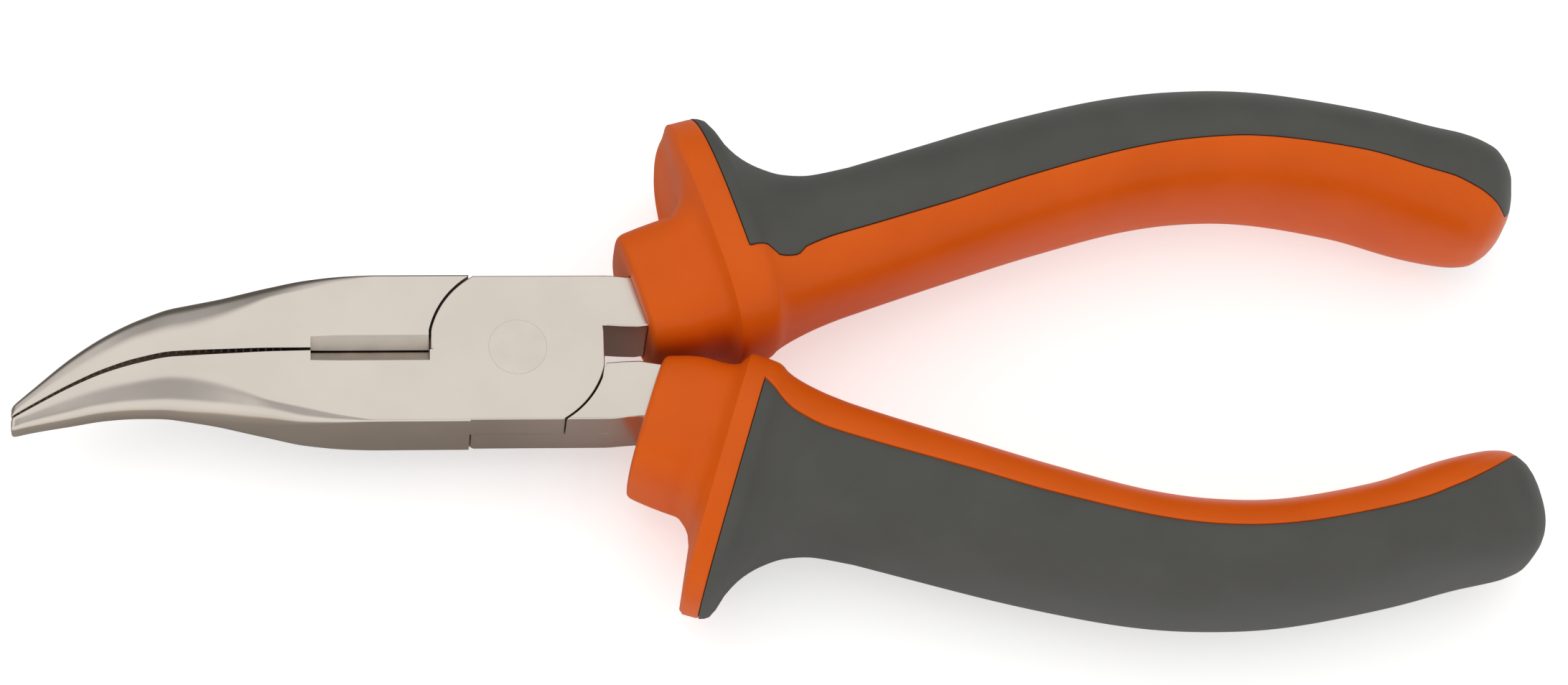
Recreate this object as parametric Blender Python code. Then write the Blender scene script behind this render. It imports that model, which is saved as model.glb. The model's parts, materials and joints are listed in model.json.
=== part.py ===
"""Needle nose pliers with bent jaws, a lap joint and two-component grips.

Lengths are millimetres measured from the pivot: +X toward the grips, +Y toward
the upper grip, +Z toward the front of the joint. MM turns them into metres.
"""
import math

import bmesh
import bpy
import numpy as np

MM = 0.001
GAP = 0.25                 # clearance between pieces that touch

# joint
HEAD_HALF_WIDTH = 8.0
HEAD_HALF_THICK = 4.5
DISC_RADIUS = 9.3
LAP_GAP = 0.1              # each half stands this far off the middle plane
SHOULDER_GAP = 0.2
RIVET_RADIUS = 3.0
BORE_GAP = 0.1
TANG_INNER = 2.0           # inner edge of each tang beside the joint
TANG_START = 12.0

# jaws: x, parting line y, height of one jaw, half thickness, squareness
JAW = [(-52.1, -6.35, 1.35, 1.50, 2.4),
       (-50.0, -5.15, 2.05, 1.70, 2.4),
       (-46.0, -3.05, 3.40, 2.15, 2.6),
       (-42.5, -1.55, 4.25, 2.50, 2.8),
       (-39.0, -0.55, 5.00, 2.85, 3.0),
       (-35.5, 0.00, 5.70, 3.20, 3.2),
       (-31.0, 0.05, 6.40, 3.65, 3.8),
       (-26.5, 0.05, 7.20, 4.10, 5.0),
       (-22.0, 0.00, 7.80, 4.40, 10.0),
       (-17.5, 0.00, 8.00, 4.50, 60.0),
       (-5.0, 0.00, 8.00, 4.50, 60.0)]
PARTING_GAP = 0.15         # each jaw stands this far off the parting line
CUTTER_X = (-21.4, -9.25)
CUTTER_HALF_WIDTH = 1.45
CUTTER_DEPTH = 1.3

# centre line of the upper grip, from its mouth to its rear end
GRIP_PATH = [(12.2, 6.7), (22.0, 9.8), (34.0, 13.5), (44.0, 16.6), (54.0, 19.6),
             (64.0, 22.1), (72.0, 23.1), (80.0, 22.9), (90.0, 21.1), (98.0, 18.8),
             (107.4, 16.9)]
# grip without its finger guard: distance, outer, inner, half thickness, squareness
GRIP = [(0.0, 6.2, 6.0, 6.4, 3.2), (0.8, 6.9, 6.8, 7.1, 3.4), (5.5, 7.2, 7.7, 7.5, 3.4),
        (10.2, 7.3, 7.4, 8.0, 3.0), (16.5, 7.3, 7.2, 8.1, 2.8), (22.8, 7.2, 7.1, 8.1, 2.6),
        (33.2, 6.95, 6.95, 8.4, 2.5), (43.7, 6.8, 6.8, 8.8, 2.4), (54.0, 6.55, 6.55, 9.0, 2.35),
        (62.0, 6.35, 6.35, 9.3, 2.3), (70.0, 6.1, 6.1, 9.75, 2.3), (80.0, 5.95, 5.95, 9.9, 2.4),
        (88.0, 6.2, 6.2, 9.5, 2.5), (92.5, 6.3, 6.3, 8.7, 2.6), (94.8, 6.0, 6.0, 7.9, 2.6),
        (96.4, 4.9, 4.9, 6.4, 2.6), (97.3, 3.6, 3.6, 4.6, 2.5), (97.9, 1.6, 1.6, 2.0, 2.4)]
# finger guard: distance and share of its full size
GUARD = [(6.3, 0.0), (7.6, 0.12), (8.3, 0.30), (8.7, 0.62), (8.9, 0.86), (9.4, 1.0),
         (12.0, 1.0), (13.2, 0.94), (13.9, 0.70), (15.1, 0.46), (16.8, 0.27), (19.0, 0.12),
         (22.0, 0.03), (26.0, 0.0)]
GUARD_SIZE = (9.3, 2.0, 2.2, 0.8)   # added to outer, inner, half thickness, squareness
# line where the soft layer meets the hard sleeve: distance, offset from centre line
SEAM = [(12.0, -3.4), (16.0, -2.9), (22.0, -2.4), (43.0, -1.8), (60.0, -1.4), (70.0, -1.1),
        (84.0, -1.2), (89.0, -1.8), (92.0, -3.4), (94.0, -5.4)]
LIP_BACK = 12.0            # the soft layer starts behind the lip of the guard
SLEEVE_SIDE_END = 94.2     # past this the soft layer goes all the way round
SLEEVE_END = 95.9
SOFT_THICK = 1.9
RING = 32                  # corners in one section of a grip

# tang inside the upper grip: x, y, half width, half thickness, squareness
TANG = [(3.5, 5.0, 3.0, 4.5, 60.0), (9.0, 5.0, 3.0, 4.5, 60.0), (14.0, 5.15, 3.0, 4.5, 20.0),
        (19.0, 7.8, 3.1, 4.3, 8.0), (24.0, 10.1, 3.1, 4.2, 6.0), (34.0, 13.5, 3.2, 4.0, 5.0),
        (54.0, 19.6, 3.1, 3.6, 5.0), (64.0, 22.1, 3.0, 3.4, 5.0), (72.0, 23.1, 2.9, 3.2, 5.0),
        (80.0, 22.9, 2.8, 3.0, 5.0), (90.0, 21.1, 2.4, 2.6, 5.0)]

# the frame's origin is under the middle of the tool, on the surface it lies on
LENGTH_CENTRE = 27.65
REST_HEIGHT = 10.21
PIVOT = (-LENGTH_CENTRE * MM, 0.0, REST_HEIGHT * MM)


# ---------------------------------------------------------------- scene helpers
def clear_scene():
    for obj in list(bpy.data.objects):
        bpy.data.objects.remove(obj, do_unlink=True)


def collection(name):
    col = bpy.data.collections.new(name)
    bpy.context.scene.collection.children.link(col)
    return col


def material(name, colour, metallic, roughness):
    mat = bpy.data.materials.new(name)
    mat.use_nodes = True
    shader = mat.node_tree.nodes["Principled BSDF"]
    shader.inputs["Base Color"].default_value = (*colour, 1.0)
    shader.inputs["Metallic"].default_value = metallic
    shader.inputs["Roughness"].default_value = roughness
    return mat


def solid(name, verts, faces, col):
    """One closed mesh from corners in millimetres, standing on the pivot."""
    mesh = bpy.data.meshes.new(name)
    mesh.from_pydata([tuple(c * MM for c in v) for v in verts], [], faces)
    mesh.validate()
    obj = bpy.data.objects.new(name, mesh)
    obj.location = PIVOT
    col.objects.link(obj)
    return obj


def cutter(obj):
    """A helper body: used by a boolean, never rendered or exported."""
    obj.hide_render = True
    obj.display_type = "WIRE"
    return obj


def boolean(obj, other, operation):
    mod = obj.modifiers.new(operation.lower(), "BOOLEAN")
    mod.operation = operation
    mod.solver = "EXACT"
    mod.object = other


# ---------------------------------------------------------------- shape helpers
def smooth_path(points, count):
    """Even samples of a Catmull-Rom curve through the points."""
    p = np.array(points, float)
    p = np.vstack([2 * p[0] - p[1], p, 2 * p[-1] - p[-2]])
    fine = []
    for i in range(1, len(p) - 2):
        for t in np.linspace(0, 1, 24, endpoint=(i == len(p) - 3)):
            a, b, c, d = p[i - 1], p[i], p[i + 1], p[i + 2]
            fine.append(0.5 * (2 * b + (c - a) * t + (2 * a - 5 * b + 4 * c - d) * t ** 2
                               + (3 * b - a - 3 * c + d) * t ** 3))
    fine = np.array(fine)
    run = np.r_[0, np.cumsum(np.linalg.norm(np.diff(fine, axis=0), axis=1))]
    even = np.linspace(0, run[-1], count)
    return even, np.column_stack([np.interp(even, run, fine[:, k]) for k in (0, 1)])


def row(table, x):
    """The table's other columns at x, by straight lines between its rows."""
    t = np.array(table, float)
    return [float(np.interp(x, t[:, 0], t[:, k])) for k in range(1, t.shape[1])]


def power(value, exponent):
    return math.copysign(abs(value) ** exponent, value)


def loft(name, rings, col):
    """Skin between rings with the same number of corners, closed at both ends."""
    count = len(rings[0])
    verts = [v for ring in rings for v in ring]
    faces = []
    for r in range(len(rings) - 1):
        for k in range(count):
            a, b = r * count + k, r * count + (k + 1) % count
            faces.append((a, b, b + count, a + count))
    faces.append(tuple(reversed(range(count))))
    faces.append(tuple(range(len(verts) - count, len(verts))))
    obj = solid(name, verts, faces, col)
    fix_normals(obj)
    return obj


def fix_normals(obj):
    bm = bmesh.new()
    bm.from_mesh(obj.data)
    bmesh.ops.recalc_face_normals(bm, faces=bm.faces)
    bm.to_mesh(obj.data)
    bm.free()


def prism(name, outline, z0, z1, col):
    """A flat outline given thickness."""
    return loft(name, [[(x, y, z0) for x, y in outline], [(x, y, z1) for x, y in outline]], col)


def arc(radius, start, end, count):
    """Points of an arc about the pivot, angles in degrees."""
    angles = np.radians(np.linspace(start, end, count))
    return [(radius * math.cos(a), radius * math.sin(a)) for a in angles]


def cylinder(name, radius, z0, z1, col, count=48):
    return prism(name, arc(radius, 0, 360 * (1 - 1 / count), count), z0, z1, col)


# ---------------------------------------------------------------- steel halves
def jaw_ring(x, side, bend):
    """D-shaped section of one jaw; its flat side lies along the parting line."""
    middle, height, thick, square = row(JAW, x)
    ring = []
    for k in range(17):
        a = math.radians(-90 + 180 * k / 16)
        out = power(math.cos(a), 2 / square) * (height - PARTING_GAP)
        if k in (0, 16):
            out = 0.0
        ring.append((x, bend * middle + side * (PARTING_GAP + out),
                     power(math.sin(a), 2 / square) * thick))
    return ring


def near_plate(name, col):
    """Front layer of the joint: the disc, the jaw root and the tang root."""
    w, r = HEAD_HALF_WIDTH, DISC_RADIUS
    corner = math.degrees(math.asin(w / r))
    notch = math.degrees(math.asin(TANG_INNER / r))
    outline = [(-17.5, -w), (-17.5, -PARTING_GAP)]
    outline += arc(r, 181.0, 180 - corner, 14)
    outline += [(TANG_START, w), (TANG_START, TANG_INNER)]
    outline += arc(r, notch, -corner, 16)
    return prism(name, outline, LAP_GAP, HEAD_HALF_THICK, col)


def tang_rings(grow, stop_past):
    """Sections of the tang, square to its path; grow widens it for the cavity."""
    t = np.array(TANG, float)
    run, pts = smooth_path(t[:, :2], 26)
    t_run = [float(run[np.argmin(np.linalg.norm(pts - p, axis=1))]) for p in t[:, :2]]
    steer = np.gradient(pts, axis=0)
    rings = []
    for i, (s, p) in enumerate(zip(run, pts)):
        half_w, half_t, square = (float(np.interp(s, t_run, t[:, k])) for k in (2, 3, 4))
        d = steer[i] / np.linalg.norm(steer[i])
        if i < 2:
            d = np.array([1.0, 0.0])
        if i == len(pts) - 1:
            p = p + d * stop_past
        rings.append(bar_ring(p, d, half_w + grow, half_t + grow, square))
    return rings


def bar_ring(p, d, half_w, half_t, square):
    ring = []
    for k in range(20):
        a = math.radians(18 * k + 9)
        u = power(math.cos(a), 2 / square) * half_w
        z = power(math.sin(a), 2 / square) * half_t
        ring.append((p[0] - d[1] * u, p[1] + d[0] * u, z))
    return ring


def steel_half(name, bend, parts, tools):
    """Lower jaw, front layer of the joint and upper tang as one forging."""
    xs = [r[0] for r in JAW]
    half = loft(name, [jaw_ring(x, -1, bend) for x in xs], parts)
    plate = cutter(near_plate(name + "_plate", tools))
    tang = cutter(loft(name + "_tang", tang_rings(0.0, 0.0), tools))
    lap = cutter(cylinder(name + "_lap", DISC_RADIUS + SHOULDER_GAP, -6.0, LAP_GAP, tools))
    bore = cutter(cylinder(name + "_bore", RIVET_RADIUS + BORE_GAP, -6.0, 6.0, tools, 32))
    boolean(half, tang, "UNION")
    boolean(half, lap, "DIFFERENCE")
    boolean(half, plate, "UNION")
    boolean(half, bore, "DIFFERENCE")
    for face, side in ((1.0, "near"), (-1.0, "far")):
        boolean(half, cutter(wedge(name + "_wedge_" + side, face, tools)), "DIFFERENCE")
    return half


def wedge(name, face, tools):
    """Half of the cutter's groove in one face, sloping down to the blade edge."""
    w, top = CUTTER_HALF_WIDTH, HEAD_HALF_THICK
    low = top - CUTTER_DEPTH
    side = [(-w, top), (-w, top + 1.0), (0.3, top + 1.0), (0.3, low - 0.27)]
    return loft(name, [[(x, y, face * z) for y, z in side] for x in CUTTER_X], tools)


def turn_over(obj):
    """Half a turn about X, so a front half becomes a back half."""
    for v in obj.data.vertices:
        v.co.y, v.co.z = -v.co.y, -v.co.z


# ---------------------------------------------------------------- grips
def grip_size(s):
    size = row(GRIP, s)
    share = row(GUARD, s)[0]
    return [a + share * b for a, b in zip(size, GUARD_SIZE)]


def frame_at(s, path):
    """Point on the grip's centre line and the direction it runs in."""
    run, pts = path
    p = np.array([np.interp(s, run, pts[:, k]) for k in (0, 1)])
    q = np.array([np.interp(s + 0.5, run, pts[:, k]) for k in (0, 1)])
    o = np.array([np.interp(s - 0.5, run, pts[:, k]) for k in (0, 1)])
    d = (q - o) / np.linalg.norm(q - o)
    return p, d


def section(angle, size):
    """Corner of a section: u is across the handle, z through its thickness."""
    outer, inner, thick, square = size
    u = power(math.cos(angle), 2 / square) * (outer if math.cos(angle) > 0 else inner)
    return u, power(math.sin(angle), 2 / square) * thick


def seam_angle(s, size):
    """Angle, measured from the outer side, at which the seam crosses the section."""
    offset = row(SEAM, s)[0]
    share = min(1.0, -offset / size[1])
    return math.pi / 2 + math.asin(share ** (size[3] / 2))


def place(p, d, u, z):
    return (p[0] - d[1] * u, p[1] + d[0] * u, z)


def outer_ring(s, path):
    p, d = frame_at(s, path)
    size = grip_size(s)
    return [place(p, d, *section(2 * math.pi * k / RING, size)) for k in range(RING)]


def sleeve_ring(s, path, soft, hard):
    """Section split at the seam. soft and hard move each part of the outline:
    a number under 0 goes inward from the plain grip, None keeps the full grip,
    and a number over 0 goes outward from it."""
    p, d = frame_at(s, path)
    full, plain = grip_size(s), row(GRIP, s)
    seam = seam_angle(s, plain) - (0.0 if hard is None or hard < 0 else GAP / plain[2])
    ring = []
    for move, start, end, count in ((soft, -seam, seam, 20), (hard, seam, 2 * math.pi - seam, 12)):
        size = list(full)
        if move is not None:
            size = [c + move for c in (plain if move < 0 else full)[:3]] + [plain[3]]
        for k in range(count):
            ring.append(place(p, d, *section(start + (end - start) * k / (count - 1), size)))
    return ring


def stations(first, last):
    more = {28.0, 38.0, 49.0, 66.0, 75.0, 84.0, 90.0, 91.3, 93.4}
    known = sorted({r[0] for r in GRIP} | {r[0] for r in GUARD} | more)
    return [first] + [s for s in known if first + 0.2 < s < last - 0.2] + [last]


def sleeve_body(name, path, start, grow, col):
    """Hard sleeve. With grow over 0 it is the space the soft layer must leave."""
    depth = -(SOFT_THICK + (0.0 if grow else GAP))
    side = grow if grow else None
    turn = LIP_BACK + (GAP if grow else 0.0)
    closing = SLEEVE_SIDE_END + (GAP if grow else 0.0)
    end = SLEEVE_END + (GAP if grow else 0.0)
    rings = [sleeve_ring(s, path, side, side) for s in stations(start, turn)]
    rings += [sleeve_ring(s, path, depth, side) for s in stations(turn, closing)]
    rings += [sleeve_ring(s, path, depth, depth) for s in stations(closing, end)]
    return loft(name, rings, col)


def grip(prefix, parts, tools):
    path = smooth_path(GRIP_PATH, 200)
    core = sleeve_body(prefix + "_grip_core", path, 0.0, 0.0, parts)
    cavity = cutter(loft(prefix + "_cavity", tang_rings(GAP, 1.0), tools))
    boolean(core, cavity, "DIFFERENCE")
    rings = [outer_ring(s, path) for s in stations(LIP_BACK + GAP, GRIP[-1][0])]
    soft = loft(prefix + "_grip_overmould", rings, parts)
    space = cutter(sleeve_body(prefix + "_space", path, LIP_BACK - 3.0, 1.5, tools))
    boolean(soft, space, "DIFFERENCE")
    return core, soft, cavity, space


# ---------------------------------------------------------------- build
def main():
    clear_scene()
    parts = collection("needle_nose_pliers")
    tools = collection("cutters")

    front = steel_half("front_half", 1.0, parts, tools)
    back = steel_half("back_half", -1.0, parts, tools)
    rivet = cylinder("pivot_rivet", RIVET_RADIUS, -HEAD_HALF_THICK, HEAD_HALF_THICK, parts, 32)
    upper = grip("upper", parts, tools)
    lower = grip("lower", parts, tools)

    for obj in [back] + [m.object for m in back.modifiers] + list(lower):
        turn_over(obj)

    finish = {
        "front_half": ("satin_steel_front", (0.62, 0.58, 0.54), 1.0, 0.30),
        "back_half": ("satin_steel_back", (0.62, 0.58, 0.54), 1.0, 0.30),
        "pivot_rivet": ("ground_rivet_steel", (0.60, 0.57, 0.53), 1.0, 0.34),
        "upper_grip_core": ("orange_plastic_upper", (0.75, 0.13, 0.012), 0.0, 0.38),
        "lower_grip_core": ("orange_plastic_lower", (0.75, 0.13, 0.012), 0.0, 0.38),
        "upper_grip_overmould": ("grey_soft_grip_upper", (0.075, 0.075, 0.072), 0.0, 0.75),
        "lower_grip_overmould": ("grey_soft_grip_lower", (0.075, 0.075, 0.072), 0.0, 0.75),
    }
    for name, (mat_name, colour, metallic, roughness) in finish.items():
        mesh = bpy.data.objects[name].data
        mesh.materials.append(material(mat_name, colour, metallic, roughness))
        smooth = "grip" in name
        mesh.polygons.foreach_set("use_smooth", [smooth] * len(mesh.polygons))
    rivet.data.update()


main()
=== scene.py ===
# %% [markdown]
# # Bent needle nose pliers
# The tool is two forged steel levers on one rivet. Each lever is a jaw, one layer of the joint and
# a tang, and each tang sits in a grip made of a hard orange sleeve with a soft grey cover over its
# outer side. Both levers are made by the same steps, where the first lever lies. The second lever's
# jaw is given the opposite bend, and all its pieces are then turned over. That lays it on the first
# lever with both jaws bending the same way.
#
# The engineering model comes in first, as a frame that never moves. Everything is built around it.

# %% Load the frame
import json
import math

import bmesh
import bpy
import numpy as np
from mathutils import Matrix, Vector


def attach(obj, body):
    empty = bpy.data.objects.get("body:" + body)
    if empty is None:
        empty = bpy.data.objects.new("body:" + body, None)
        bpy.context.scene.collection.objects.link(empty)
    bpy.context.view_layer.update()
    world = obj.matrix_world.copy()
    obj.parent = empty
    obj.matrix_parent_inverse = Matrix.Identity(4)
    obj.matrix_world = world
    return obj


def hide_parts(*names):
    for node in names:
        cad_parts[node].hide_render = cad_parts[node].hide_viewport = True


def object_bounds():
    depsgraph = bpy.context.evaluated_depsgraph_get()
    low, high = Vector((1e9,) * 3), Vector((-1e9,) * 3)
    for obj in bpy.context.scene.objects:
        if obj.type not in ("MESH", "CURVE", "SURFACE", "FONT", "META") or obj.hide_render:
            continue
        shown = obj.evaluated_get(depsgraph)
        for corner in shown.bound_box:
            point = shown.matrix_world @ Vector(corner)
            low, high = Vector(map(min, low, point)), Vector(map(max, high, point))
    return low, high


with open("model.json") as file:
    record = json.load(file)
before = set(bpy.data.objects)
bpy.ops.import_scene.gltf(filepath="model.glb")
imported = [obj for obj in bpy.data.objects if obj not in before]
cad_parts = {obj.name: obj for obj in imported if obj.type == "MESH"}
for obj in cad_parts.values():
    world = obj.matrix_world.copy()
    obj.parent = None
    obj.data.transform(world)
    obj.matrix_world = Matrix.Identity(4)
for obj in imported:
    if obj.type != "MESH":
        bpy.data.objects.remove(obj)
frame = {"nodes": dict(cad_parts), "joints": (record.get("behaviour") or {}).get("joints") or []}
cad_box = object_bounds()
PIVOT = np.array(next(j for j in frame["joints"] if j["name"] == "pivot")["pos_m"])
MM = 0.001
print("frame:", len(frame["nodes"]), "nodes, pivot at", PIVOT.tolist())

# %% [markdown]
# ## Camera
# The tool lies flat and is seen from above, a little from its lower side and slightly turned. The
# camera is half a metre away with a long lens, so the far ends of the grips hardly shrink.
# The tool's sizes in this lesson are millimetres measured from the rivet, and `place` turns them
# into metres. The room around it is given in metres.

# %% Camera
AZIMUTH, ELEVATION, ROLL = (math.radians(a) for a in (-14.70, 68.41, 13.41))
DISTANCE, LOOK_AT = 500.0, (27.8, 0.0, 0.0)
LENS, SENSOR, SHIFT = 109.2, 36.0, (0.0019, 0.0118)
NEAREST = 0.01         # metres in front of the camera that stay out of view


def place(points):
    """Millimetres from the rivet to metres in the frame."""
    return np.asarray(points, float) * MM + PIVOT


def add_camera():
    flat = math.cos(ELEVATION)
    back = Vector((math.sin(AZIMUTH) * flat, -math.cos(AZIMUTH) * flat, math.sin(ELEVATION)))
    right = Vector((0, 0, 1)).cross(back).normalized()
    up = back.cross(right)
    turned = (right * math.cos(ROLL) + up * math.sin(ROLL), up * math.cos(ROLL) - right * math.sin(ROLL))
    data = bpy.data.cameras.new("camera")
    data.lens, data.sensor_width, data.clip_start = LENS, SENSOR, NEAREST
    data.shift_x, data.shift_y = SHIFT
    camera = bpy.data.objects.new("camera", data)
    camera.matrix_world = Matrix((*turned, back)).transposed().to_4x4()
    camera.matrix_world.translation = Vector(place(LOOK_AT)) + back * DISTANCE * MM
    bpy.context.scene.collection.objects.link(camera)
    bpy.context.scene.camera = camera
    return back


to_camera = add_camera()
print("camera looks from", [round(c, 3) for c in to_camera])

# %% [markdown]
# ## Studio
# Bright metal shows its surroundings, so the room matters as much as the lamps. The room is a soft
# white tent: bright overhead and in front, dark low down behind, with a dim round opening close to
# where the tool is looked at from. Two soft lamps add direction. They are hidden from reflections,
# so only the tent and the floor draw the bands on the steel. The floor is plain and pale. Its mirror
# image is a painted reflection: less bright than the floor itself, and painted darker behind the jaws
# than in front of them, which paints the upper jaw's dark rim.

# %% Studio
TENT_LEAN = (0.0, -0.35, 1.0)       # the tent gets brighter in this direction
TENT_SHADE = {"From Min": -0.32, "From Max": 0.58, "To Min": 0.14, "To Max": 0.96}
TENT_COLOUR = (1.0, 0.99, 0.975, 1)
OPENING_SHIFT = (-0.13, 0.03, 0.0)  # from the direction of the camera to the middle of the opening
OPENING_SHADE = {"From Min": 0.925, "From Max": 0.975, "To Min": 1.0, "To Max": 0.52}
# name, place in metres, size in metres, watts
LAMPS = [("overhead", (-0.15, 0.25, 0.9), 0.9, 2.2), ("front_left", (-0.6, -0.6, 0.55), 0.6, 0.3)]
FLOOR_HALF, FLOOR_DROP = 4.0, 0.00005
FLOOR_GREY, FLOOR_GLOW, FLOOR_ROUGH = 0.70, 0.50, 0.9
WARM_GREY = (1.0, 0.92, 0.84)
FRONT_TO_BACK, JAWS_TO_GRIPS = (-0.12, 0.04), (-0.03, 0.03)     # metres along y and along x
# painted reflection: greys of the floor's mirror image from front to back, and the lighter grey it turns to
# at the grips
PAINTED_REFLECTION_SHADES = [(0.0, 0.95), (0.30, 0.80), (0.52, 0.36), (0.80, 0.34), (0.92, 0.12)]   # share, grey
PAINTED_REFLECTION_AT_GRIPS = (0.9, 0.9, 0.9, 1)
# A mix node has sockets for several kinds of value, told apart by number.
MIX_COLOURS, MIXED_COLOUR, MIX_NUMBERS, MIXED_NUMBER = (6, 7), 2, (2, 3), 0


def link_nodes(tree, pairs):
    for source, target in pairs:
        tree.links.new(source, target)


def set_inputs(node, values):
    for socket, value in values.items():
        node.inputs[socket].default_value = value


def add_room():
    world = bpy.data.worlds.new("white_tent")
    world.use_nodes = True
    tree = world.node_tree
    sky = tree.nodes["Background"]
    where = tree.nodes.new("ShaderNodeTexCoord")
    lean, height = tree.nodes.new("ShaderNodeVectorMath"), tree.nodes.new("ShaderNodeMapRange")
    lean.operation, height.interpolation_type = "DOT_PRODUCT", "SMOOTHSTEP"
    lean.inputs[1].default_value = TENT_LEAN
    set_inputs(height, TENT_SHADE)
    opening, dim = tree.nodes.new("ShaderNodeVectorMath"), tree.nodes.new("ShaderNodeMapRange")
    opening.operation = "DOT_PRODUCT"
    opening.inputs[1].default_value = (to_camera + Vector(OPENING_SHIFT)).normalized()
    set_inputs(dim, OPENING_SHADE)
    shade = tree.nodes.new("ShaderNodeMath")
    shade.operation = "MULTIPLY"
    for turned, shaded in ((lean, height), (opening, dim)):
        link_nodes(tree, [(where.outputs["Generated"], turned.inputs[0]),
                          (turned.outputs["Value"], shaded.inputs["Value"])])
    link_nodes(tree, [(height.outputs["Result"], shade.inputs[0]), (dim.outputs["Result"], shade.inputs[1]),
                      (shade.outputs[0], sky.inputs["Strength"])])
    sky.inputs["Color"].default_value = TENT_COLOUR
    bpy.context.scene.world = world


def add_lamp(name, spot, size, watts):
    data = bpy.data.lights.new(name, "AREA")
    data.size, data.energy = size, watts
    lamp = bpy.data.objects.new(name, data)
    lamp.location = spot
    lamp.rotation_euler = (-Vector(spot)).to_track_quat("-Z", "Y").to_euler()
    lamp.visible_glossy = False
    bpy.context.scene.collection.objects.link(lamp)


def add_painted_reflection(tree, painted_mirror):
    """Paints the floor's mirror image, a painted reflection, by place on the floor: darker behind, lighter at
    the grips.
    """
    where, split = tree.nodes.new("ShaderNodeTexCoord"), tree.nodes.new("ShaderNodeSeparateXYZ")
    along, across = tree.nodes.new("ShaderNodeMapRange"), tree.nodes.new("ShaderNodeMapRange")
    for node, (start, end) in ((along, JAWS_TO_GRIPS), (across, FRONT_TO_BACK)):
        set_inputs(node, {"From Min": start, "From Max": end})
    shades, lighter = tree.nodes.new("ShaderNodeValToRGB"), tree.nodes.new("ShaderNodeMix")
    stops = shades.color_ramp.elements
    stops.remove(stops[1])                  # a new ramp has a stop at 0, which is used, and one at 1
    for share, grey in PAINTED_REFLECTION_SHADES:
        stop = stops.new(share) if share else stops[0]
        stop.color = (*(grey * part for part in WARM_GREY), 1)
    lighter.data_type = "RGBA"
    lighter.inputs[MIX_COLOURS[1]].default_value = PAINTED_REFLECTION_AT_GRIPS
    link_nodes(tree, [(where.outputs["Object"], split.inputs[0]),
                      (split.outputs["X"], along.inputs["Value"]),
                      (split.outputs["Y"], across.inputs["Value"]),
                      (across.outputs["Result"], shades.inputs["Fac"]),
                      (along.outputs["Result"], lighter.inputs["Factor"]),
                      (shades.outputs["Color"], lighter.inputs[MIX_COLOURS[0]]),
                      (lighter.outputs[MIXED_COLOUR], painted_mirror.inputs["Color"])])


def add_floor(level):
    corners = [(x * FLOOR_HALF, y * FLOOR_HALF, level) for x, y in ((-1, -1), (1, -1), (1, 1), (-1, 1))]
    mesh = bpy.data.meshes.new("floor")
    mesh.from_pydata(corners, [], [(0, 1, 2, 3)])
    floor = bpy.data.objects.new("floor", mesh)
    bpy.context.scene.collection.objects.link(floor)
    table = bpy.data.materials.new("pale_table")
    table.use_nodes = True
    tree = table.node_tree
    pale, painted_mirror = tree.nodes["Principled BSDF"], tree.nodes.new("ShaderNodeBsdfDiffuse")
    set_inputs(pale, {"Base Color": (FLOOR_GREY, FLOOR_GREY, FLOOR_GREY, 1), "Roughness": FLOOR_ROUGH,
                      "Emission Color": (1, 1, 1, 1), "Emission Strength": FLOOR_GLOW})
    add_painted_reflection(tree, painted_mirror)
    # glossy rays see the painted reflection instead of the pale floor
    ray, mix = tree.nodes.new("ShaderNodeLightPath"), tree.nodes.new("ShaderNodeMixShader")
    link_nodes(tree, [(ray.outputs["Is Glossy Ray"], mix.inputs["Fac"]),
                      (pale.outputs[0], mix.inputs[1]), (painted_mirror.outputs[0], mix.inputs[2]),
                      (mix.outputs[0], tree.nodes["Material Output"].inputs["Surface"])])
    mesh.materials.append(table)


add_room()
for lamp in LAMPS:
    add_lamp(*lamp)
add_floor(cad_box[0].z - FLOOR_DROP)
bpy.context.scene.view_settings.view_transform = "Standard"
print("studio: one tent, two soft lamps, one floor")

# %% [markdown]
# ## Shared surface effects
# Two effects appear in every finish. Grain is fine noise that can be stretched, so the same nodes
# give polishing lines on steel and a leathery skin on rubber. Tone is slow variation that shifts a
# colour and a roughness between two values. Each is a shader node group that is built once.

# %% Shared surface effects
GRAIN_DETAIL, TONE_DETAIL = 3.0, 4.0        # how many finer layers each noise has
TONE_SPREAD = (0.32, 0.68)                  # the part of the noise that is spread from 0 to 1
PATCH_SHARE, GRAIN_SHARE = 0.65, 0.35       # what patches and grain add to the tone


def shader_group(name, inputs, outputs):
    tree = bpy.data.node_groups.new(name, "ShaderNodeTree")
    for label, kind, value in inputs:
        tree.interface.new_socket(label, in_out="INPUT", socket_type=kind).default_value = value
    for label, kind in outputs:
        tree.interface.new_socket(label, in_out="OUTPUT", socket_type=kind)
    return tree, tree.nodes.new("NodeGroupInput"), tree.nodes.new("NodeGroupOutput")


def make_grain():
    """Noise with grains of a given size in metres, stretched along the axes."""
    tree, given, made = shader_group(
        "grain", [("Position", "NodeSocketVector", (0, 0, 0)), ("Stretch", "NodeSocketVector", (1, 1, 1)),
                  ("Size", "NodeSocketFloat", 0.001)], [("Height", "NodeSocketFloat")])
    divide, stretch = tree.nodes.new("ShaderNodeVectorMath"), tree.nodes.new("ShaderNodeVectorMath")
    divide.operation, stretch.operation = "DIVIDE", "DIVIDE"
    noise = tree.nodes.new("ShaderNodeTexNoise")
    set_inputs(noise, {"Scale": 1.0, "Detail": GRAIN_DETAIL})
    link_nodes(tree, [(given.outputs["Position"], divide.inputs[0]),
                      (given.outputs["Size"], divide.inputs[1]),
                      (divide.outputs[0], stretch.inputs[0]),
                      (given.outputs["Stretch"], stretch.inputs[1]),
                      (stretch.outputs[0], noise.inputs["Vector"]),
                      (noise.outputs["Fac"], made.inputs["Height"])])
    return tree


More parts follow.
